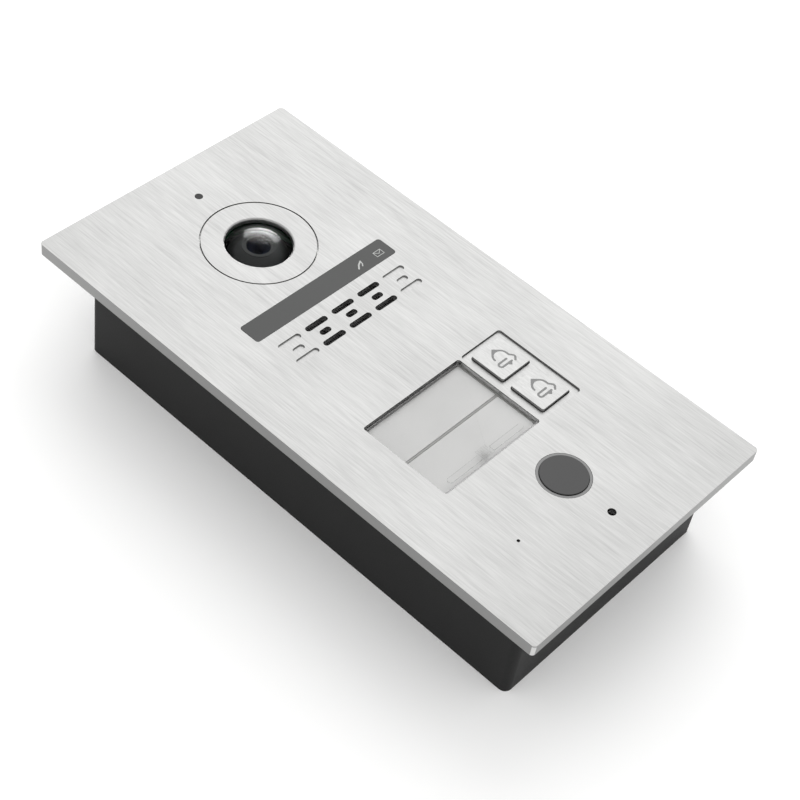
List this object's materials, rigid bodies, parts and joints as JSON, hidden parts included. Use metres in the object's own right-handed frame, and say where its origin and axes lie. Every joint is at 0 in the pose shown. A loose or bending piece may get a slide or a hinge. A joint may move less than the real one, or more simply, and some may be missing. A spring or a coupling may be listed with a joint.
{
  "type": "door intercom panel",
  "caption": "Flush-mounted door intercom: brushed front plate with a domed camera, indicator strip, speaker slots, name window, call buttons and card reader on a black wall box.",
  "frame": {"origin": "under the centre of the front plate, on the back face of the flush box, with the panel lying on its back", "axes": "+Z points out of the front of the panel, +Y runs along the plate to the camera end, +X runs across it to the right when the panel is seen from the front with the camera end up"},
  "size_m": [0.12, 0.231, 0.0479],
  "materials": {
    "brushed_plate": "brushed lengthways, satin",
    "key_silver": "fine satin silver",
    "bare_steel": "zinc-plated, slightly dull",
    "black_rivet": "satin black",
    "box_black": "moulded, fine matte texture",
    "inner_black": "moulded, matte",
    "eye_black": "matte anti-glare black",
    "seal_rubber": "matte",
    "clear_dome": "polished clear",
    "lens_glass": "coated glass",
    "clear_window": "clear, slightly satin",
    "smoked_window": "smoked, satin gloss",
    "icon_white": "printed white",
    "light_guide": "clear moulded",
    "led_lens": "moulded resin",
    "speaker_mesh": "fine black mesh",
    "speaker_paper": "coated paper",
    "bell_grey": "filled grey mark",
    "silicone": "translucent silicone",
    "tray_white": "milky white",
    "card_paper": "smooth card",
    "reader_grey": "satin moulded",
    "reader_dark": "satin moulded",
    "coil_copper": "enamelled copper wire",
    "board_green": "solder mask over glass fibre",
    "chip_black": "moulded resin",
    "capacitor_sleeve": "shrink sleeve",
    "relay_blue": "moulded case",
    "terminal_green": "moulded nylon",
    "ribbon_grey": "ribbon cable and sockets",
    "plunger_red": "moulded acetal"
  },
  "bodies": {
    "panel": {"front_plate": "brushed_plate", "plate_studs": "bare_steel", "stud_nuts": "bare_steel", "plate_gasket": "seal_rubber", "hook_bracket": "bare_steel", "hook_rivet": "black_rivet", "screw_clip": "bare_steel", "security_screw": "bare_steel", "camera_bezel": "brushed_plate", "dome_cover": "clear_dome", "dome_seal": "seal_rubber", "camera_socket": "inner_black", "indicator_window": "smoked_window", "indicator_icons": "icon_white", "light_guide": "light_guide", "board_leds": "led_lens", "speaker_mesh": "speaker_mesh", "speaker_gasket": "seal_rubber", "speaker_frame": "inner_black", "speaker_cone": "speaker_paper", "speaker_magnet": "bare_steel", "button_frame": "key_silver", "return_dome_upper": "silicone", "return_dome_lower": "silicone", "card_tray": "tray_white", "name_card_upper": "card_paper", "name_card_lower": "card_paper", "reader_ring": "reader_grey", "reader_cap": "reader_dark", "reader_coil": "coil_copper", "mic_boot": "seal_rubber", "mic_capsule": "bare_steel", "module_carrier": "inner_black", "front_board": "board_green", "main_board": "board_green", "board_screws": "bare_steel", "main_chips": "chip_black", "capacitors": "capacitor_sleeve", "lock_relay": "relay_blue", "terminal_block": "terminal_green", "terminal_screws": "bare_steel", "ribbon_connector": "ribbon_grey", "inner_tub": "inner_black", "tub_seal": "seal_rubber", "tamper_switch": "inner_black", "flush_box": "box_black", "cable_grommet": "seal_rubber"},
    "tilt_ring": {"tilt_ring": "inner_black", "tilt_pins": "bare_steel"},
    "camera_eye": {"camera_eye": "eye_black", "pan_pins": "bare_steel", "lens_barrel": "eye_black", "front_lens": "lens_glass", "sensor_board": "board_green"},
    "call_button_upper": {"call_button_upper": "key_silver", "bell_icon_upper": "bell_grey"},
    "call_button_lower": {"call_button_lower": "key_silver", "bell_icon_lower": "bell_grey"},
    "name_window": {"name_window": "clear_window"},
    "tamper_plunger": {"tamper_plunger": "plunger_red"}
  },
  "joints": [
    {"name": "call_button_upper_press", "type": "slide", "parent": "panel", "child": "call_button_upper", "axis": [0, 0, -1], "range_m": [0, 0.0008], "stiffness_N_per_m": 1500, "deforming": ["return_dome_upper"]},
    {"name": "call_button_lower_press", "type": "slide", "parent": "panel", "child": "call_button_lower", "axis": [0, 0, -1], "range_m": [0, 0.0008], "stiffness_N_per_m": 1500, "deforming": ["return_dome_lower"]},
    {"name": "camera_tilt", "type": "hinge", "parent": "panel", "child": "tilt_ring", "pos_m": [0, 0.0663, 0.0299], "axis": [1, 0, 0], "range_deg": [-12, 12]},
    {"name": "camera_pan", "type": "hinge", "parent": "tilt_ring", "child": "camera_eye", "pos_m": [0, 0.0663, 0.0299], "axis": [0, 1, 0], "range_deg": [-12, 12]},
    {"name": "name_window_hinge", "type": "hinge", "parent": "panel", "child": "name_window", "pos_m": [-0.0117, -0.0207, 0.0439], "axis": [-1, 0, 0], "range_deg": [0, 75]},
    {"name": "tamper_plunger_slide", "type": "slide", "parent": "panel", "child": "tamper_plunger", "axis": [0, 0, 1], "range_m": [0, 0.001], "stiffness_N_per_m": 900}
  ]
}
